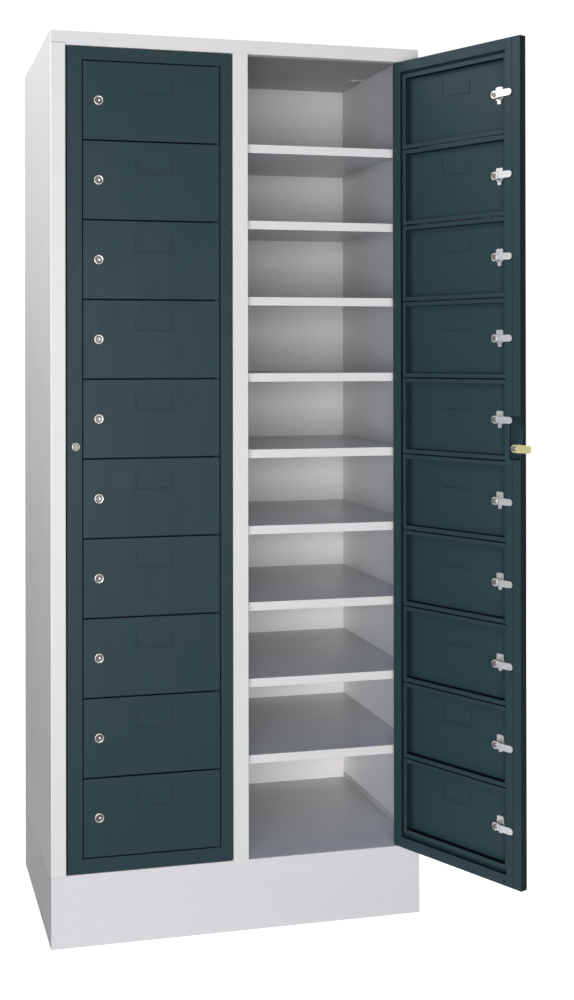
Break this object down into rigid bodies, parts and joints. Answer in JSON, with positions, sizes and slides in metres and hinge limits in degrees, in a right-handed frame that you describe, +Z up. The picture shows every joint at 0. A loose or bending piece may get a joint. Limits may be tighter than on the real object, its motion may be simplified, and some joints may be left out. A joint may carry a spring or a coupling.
{
  "type": "cell phone locker cabinet",
  "caption": "Tall steel locker cabinet on a closed plinth: full-height service doors carry small lockable doors, each in front of a shelf compartment.",
  "frame": {"origin": "middle of the plinth's footprint, on the floor", "axes": "+Z up, -Y towards the front with the doors, +X to the right of someone facing the front"},
  "size_m": [0.8959, 0.8236, 1.85],
  "materials": {
    "light_grey_paint": "fine satin powder coat",
    "dark_teal_paint": "satin powder coat",
    "nickel": "bright nickel plate",
    "zinc": "white zinc plate",
    "yellow_zinc": "yellow passivated zinc plate"
  },
  "bodies": {
    "cabinet": {"side_panel_left": "light_grey_paint", "side_panel_right": "light_grey_paint", "roof_panel": "light_grey_paint", "back_panel": "light_grey_paint", "floor_panel": "light_grey_paint", "plinth": "light_grey_paint", "centre_post": "light_grey_paint", "partition": "light_grey_paint", "main_hinge_pins": "zinc", "shelves_left": "light_grey_paint", "shelves_right": "light_grey_paint"},
    "main_door_left": {"door_frame_left": "dark_teal_paint", "pivot_tabs_left": "dark_teal_paint", "main_lock_case_left": "nickel"},
    "main_lock_left": {"main_lock_left": "yellow_zinc"},
    "small_door_left_01": {"small_door_left_01": "dark_teal_paint"},
    "small_lock_left_01": {"small_lock_left_01": "zinc"},
    "small_door_left_02": {"small_door_left_02": "dark_teal_paint"},
    "small_lock_left_02": {"small_lock_left_02": "zinc"},
    "small_door_left_03": {"small_door_left_03": "dark_teal_paint"},
    "small_lock_left_03": {"small_lock_left_03": "zinc"},
    "small_door_left_04": {"small_door_left_04": "dark_teal_paint"},
    "small_lock_left_04": {"small_lock_left_04": "zinc"},
    "small_door_left_05": {"small_door_left_05": "dark_teal_paint"},
    "small_lock_left_05": {"small_lock_left_05": "zinc"},
    "small_door_left_06": {"small_door_left_06": "dark_teal_paint"},
    "small_lock_left_06": {"small_lock_left_06": "zinc"},
    "small_door_left_07": {"small_door_left_07": "dark_teal_paint"},
    "small_lock_left_07": {"small_lock_left_07": "zinc"},
    "small_door_left_08": {"small_door_left_08": "dark_teal_paint"},
    "small_lock_left_08": {"small_lock_left_08": "zinc"},
    "small_door_left_09": {"small_door_left_09": "dark_teal_paint"},
    "small_lock_left_09": {"small_lock_left_09": "zinc"},
    "small_door_left_10": {"small_door_left_10": "dark_teal_paint"},
    "small_lock_left_10": {"small_lock_left_10": "zinc"},
    "main_door_right": {"door_frame_right": "dark_teal_paint", "pivot_tabs_right": "dark_teal_paint", "main_lock_case_right": "nickel"},
    "main_lock_right": {"main_lock_right": "yellow_zinc"},
    "small_door_right_01": {"small_door_right_01": "dark_teal_paint"},
    "small_lock_right_01": {"small_lock_right_01": "zinc"},
    "small_door_right_02": {"small_door_right_02": "dark_teal_paint"},
    "small_lock_right_02": {"small_lock_right_02": "zinc"},
    "small_door_right_03": {"small_door_right_03": "dark_teal_paint"},
    "small_lock_right_03": {"small_lock_right_03": "zinc"},
    "small_door_right_04": {"small_door_right_04": "dark_teal_paint"},
    "small_lock_right_04": {"small_lock_right_04": "zinc"},
    "small_door_right_05": {"small_door_right_05": "dark_teal_paint"},
    "small_lock_right_05": {"small_lock_right_05": "zinc"},
    "small_door_right_06": {"small_door_right_06": "dark_teal_paint"},
    "small_lock_right_06": {"small_lock_right_06": "zinc"},
    "small_door_right_07": {"small_door_right_07": "dark_teal_paint"},
    "small_lock_right_07": {"small_lock_right_07": "zinc"},
    "small_door_right_08": {"small_door_right_08": "dark_teal_paint"},
    "small_lock_right_08": {"small_lock_right_08": "zinc"},
    "small_door_right_09": {"small_door_right_09": "dark_teal_paint"},
    "small_lock_right_09": {"small_lock_right_09": "zinc"},
    "small_door_right_10": {"small_door_right_10": "dark_teal_paint"},
    "small_lock_right_10": {"small_lock_right_10": "zinc"}
  },
  "joints": [
    {"name": "main_door_left", "type": "hinge", "parent": "cabinet", "child": "main_door_left", "pos_m": [-0.02625, -0.244, 0.98325], "axis": [0, 0, -1], "range_deg": [-115, 0]},
    {"name": "main_lock_left", "type": "hinge", "parent": "main_door_left", "child": "main_lock_left", "pos_m": [-0.344, -0.25, 1.01], "axis": [0, -1, 0], "range_deg": [0, 90]},
    {"name": "small_door_left_01", "type": "hinge", "parent": "main_door_left", "child": "small_door_left_01", "pos_m": [-0.05075, -0.245, 1.71175], "axis": [0, 0, 1], "range_deg": [0, 105]},
    {"name": "small_lock_left_01", "type": "hinge", "parent": "small_door_left_01", "child": "small_lock_left_01", "pos_m": [-0.297, -0.25, 1.71175], "axis": [0, -1, 0], "range_deg": [0, 90]},
    {"name": "small_door_left_02", "type": "hinge", "parent": "main_door_left", "child": "small_door_left_02", "pos_m": [-0.05075, -0.245, 1.55025], "axis": [0, 0, 1], "range_deg": [0, 105]},
    {"name": "small_lock_left_02", "type": "hinge", "parent": "small_door_left_02", "child": "small_lock_left_02", "pos_m": [-0.297, -0.25, 1.55025], "axis": [0, -1, 0], "range_deg": [0, 90]},
    {"name": "small_door_left_03", "type": "hinge", "parent": "main_door_left", "child": "small_door_left_03", "pos_m": [-0.05075, -0.245, 1.38875], "axis": [0, 0, 1], "range_deg": [0, 105]},
    {"name": "small_lock_left_03", "type": "hinge", "parent": "small_door_left_03", "child": "small_lock_left_03", "pos_m": [-0.297, -0.25, 1.38875], "axis": [0, -1, 0], "range_deg": [0, 90]},
    {"name": "small_door_left_04", "type": "hinge", "parent": "main_door_left", "child": "small_door_left_04", "pos_m": [-0.05075, -0.245, 1.22725], "axis": [0, 0, 1], "range_deg": [0, 105]},
    {"name": "small_lock_left_04", "type": "hinge", "parent": "small_door_left_04", "child": "small_lock_left_04", "pos_m": [-0.297, -0.25, 1.22725], "axis": [0, -1, 0], "range_deg": [0, 90]},
    {"name": "small_door_left_05", "type": "hinge", "parent": "main_door_left", "child": "small_door_left_05", "pos_m": [-0.05075, -0.245, 1.06575], "axis": [0, 0, 1], "range_deg": [0, 105]},
    {"name": "small_lock_left_05", "type": "hinge", "parent": "small_door_left_05", "child": "small_lock_left_05", "pos_m": [-0.297, -0.25, 1.06575], "axis": [0, -1, 0], "range_deg": [0, 90]},
    {"name": "small_door_left_06", "type": "hinge", "parent": "main_door_left", "child": "small_door_left_06", "pos_m": [-0.05075, -0.245, 0.90425], "axis": [0, 0, 1], "range_deg": [0, 105]},
    {"name": "small_lock_left_06", "type": "hinge", "parent": "small_door_left_06", "child": "small_lock_left_06", "pos_m": [-0.297, -0.25, 0.90425], "axis": [0, -1, 0], "range_deg": [0, 90]},
    {"name": "small_door_left_07", "type": "hinge", "parent": "main_door_left", "child": "small_door_left_07", "pos_m": [-0.05075, -0.245, 0.74275], "axis": [0, 0, 1], "range_deg": [0, 105]},
    {"name": "small_lock_left_07", "type": "hinge", "parent": "small_door_left_07", "child": "small_lock_left_07", "pos_m": [-0.297, -0.25, 0.74275], "axis": [0, -1, 0], "range_deg": [0, 90]},
    {"name": "small_door_left_08", "type": "hinge", "parent": "main_door_left", "child": "small_door_left_08", "pos_m": [-0.05075, -0.245, 0.58125], "axis": [0, 0, 1], "range_deg": [0, 105]},
    {"name": "small_lock_left_08", "type": "hinge", "parent": "small_door_left_08", "child": "small_lock_left_08", "pos_m": [-0.297, -0.25, 0.58125], "axis": [0, -1, 0], "range_deg": [0, 90]},
    {"name": "small_door_left_09", "type": "hinge", "parent": "main_door_left", "child": "small_door_left_09", "pos_m": [-0.05075, -0.245, 0.41975], "axis": [0, 0, 1], "range_deg": [0, 105]},
    {"name": "small_lock_left_09", "type": "hinge", "parent": "small_door_left_09", "child": "small_lock_left_09", "pos_m": [-0.297, -0.25, 0.41975], "axis": [0, -1, 0], "range_deg": [0, 90]},
    {"name": "small_door_left_10", "type": "hinge", "parent": "main_door_left", "child": "small_door_left_10", "pos_m": [-0.05075, -0.245, 0.25825], "axis": [0, 0, 1], "range_deg": [0, 105]},
    {"name": "small_lock_left_10", "type": "hinge", "parent": "small_door_left_10", "child": "small_lock_left_10", "pos_m": [-0.297, -0.25, 0.25825], "axis": [0, -1, 0], "range_deg": [0, 90]},
    {"name": "main_door_right", "type": "hinge", "parent": "cabinet", "child": "main_door_right", "pos_m": [0.354, -0.244, 0.98325], "axis": [0, 0, 1], "range_deg": [-115, 0]},
    {"name": "main_lock_right", "type": "hinge", "parent": "main_door_right", "child": "main_lock_right", "pos_m": [0.49372, -0.52944, 1.01], "axis": [-0.9063, -0.4226, 0], "range_deg": [0, 90]},
    {"name": "small_door_right_01", "type": "hinge", "parent": "main_door_right", "child": "small_door_right_01", "pos_m": [0.36526, -0.26578, 1.71175], "axis": [0, 0, 1], "range_deg": [0, 80]},
    {"name": "small_lock_right_01", "type": "hinge", "parent": "small_door_right_01", "child": "small_lock_right_01", "pos_m": [0.47386, -0.48685, 1.71175], "axis": [-0.9063, -0.4226, 0], "range_deg": [0, 90]},
    {"name": "small_door_right_02", "type": "hinge", "parent": "main_door_right", "child": "small_door_right_02", "pos_m": [0.36526, -0.26578, 1.55025], "axis": [0, 0, 1], "range_deg": [0, 80]},
    {"name": "small_lock_right_02", "type": "hinge", "parent": "small_door_right_02", "child": "small_lock_right_02", "pos_m": [0.47386, -0.48685, 1.55025], "axis": [-0.9063, -0.4226, 0], "range_deg": [0, 90]},
    {"name": "small_door_right_03", "type": "hinge", "parent": "main_door_right", "child": "small_door_right_03", "pos_m": [0.36526, -0.26578, 1.38875], "axis": [0, 0, 1], "range_deg": [0, 80]},
    {"name": "small_lock_right_03", "type": "hinge", "parent": "small_door_right_03", "child": "small_lock_right_03", "pos_m": [0.47386, -0.48685, 1.38875], "axis": [-0.9063, -0.4226, 0], "range_deg": [0, 90]},
    {"name": "small_door_right_04", "type": "hinge", "parent": "main_door_right", "child": "small_door_right_04", "pos_m": [0.36526, -0.26578, 1.22725], "axis": [0, 0, 1], "range_deg": [0, 80]},
    {"name": "small_lock_right_04", "type": "hinge", "parent": "small_door_right_04", "child": "small_lock_right_04", "pos_m": [0.47386, -0.48685, 1.22725], "axis": [-0.9063, -0.4226, 0], "range_deg": [0, 90]},
    {"name": "small_door_right_05", "type": "hinge", "parent": "main_door_right", "child": "small_door_right_05", "pos_m": [0.36526, -0.26578, 1.06575], "axis": [0, 0, 1], "range_deg": [0, 80]},
    {"name": "small_lock_right_05", "type": "hinge", "parent": "small_door_right_05", "child": "small_lock_right_05", "pos_m": [0.47386, -0.48685, 1.06575], "axis": [-0.9063, -0.4226, 0], "range_deg": [0, 90]},
    {"name": "small_door_right_06", "type": "hinge", "parent": "main_door_right", "child": "small_door_right_06", "pos_m": [0.36526, -0.26578, 0.90425], "axis": [0, 0, 1], "range_deg": [0, 80]},
    {"name": "small_lock_right_06", "type": "hinge", "parent": "small_door_right_06", "child": "small_lock_right_06", "pos_m": [0.47386, -0.48685, 0.90425], "axis": [-0.9063, -0.4226, 0], "range_deg": [0, 90]},
    {"name": "small_door_right_07", "type": "hinge", "parent": "main_door_right", "child": "small_door_right_07", "pos_m": [0.36526, -0.26578, 0.74275], "axis": [0, 0, 1], "range_deg": [0, 80]},
    {"name": "small_lock_right_07", "type": "hinge", "parent": "small_door_right_07", "child": "small_lock_right_07", "pos_m": [0.47386, -0.48685, 0.74275], "axis": [-0.9063, -0.4226, 0], "range_deg": [0, 90]},
    {"name": "small_door_right_08", "type": "hinge", "parent": "main_door_right", "child": "small_door_right_08", "pos_m": [0.36526, -0.26578, 0.58125], "axis": [0, 0, 1], "range_deg": [0, 80]},
    {"name": "small_lock_right_08", "type": "hinge", "parent": "small_door_right_08", "child": "small_lock_right_08", "pos_m": [0.47386, -0.48685, 0.58125], "axis": [-0.9063, -0.4226, 0], "range_deg": [0, 90]},
    {"name": "small_door_right_09", "type": "hinge", "parent": "main_door_right", "child": "small_door_right_09", "pos_m": [0.36526, -0.26578, 0.41975], "axis": [0, 0, 1], "range_deg": [0, 80]},
    {"name": "small_lock_right_09", "type": "hinge", "parent": "small_door_right_09", "child": "small_lock_right_09", "pos_m": [0.47386, -0.48685, 0.41975], "axis": [-0.9063, -0.4226, 0], "range_deg": [0, 90]},
    {"name": "small_door_right_10", "type": "hinge", "parent": "main_door_right", "child": "small_door_right_10", "pos_m": [0.36526, -0.26578, 0.25825], "axis": [0, 0, 1], "range_deg": [0, 80]},
    {"name": "small_lock_right_10", "type": "hinge", "parent": "small_door_right_10", "child": "small_lock_right_10", "pos_m": [0.47386, -0.48685, 0.25825], "axis": [-0.9063, -0.4226, 0], "range_deg": [0, 90]}
  ]
}
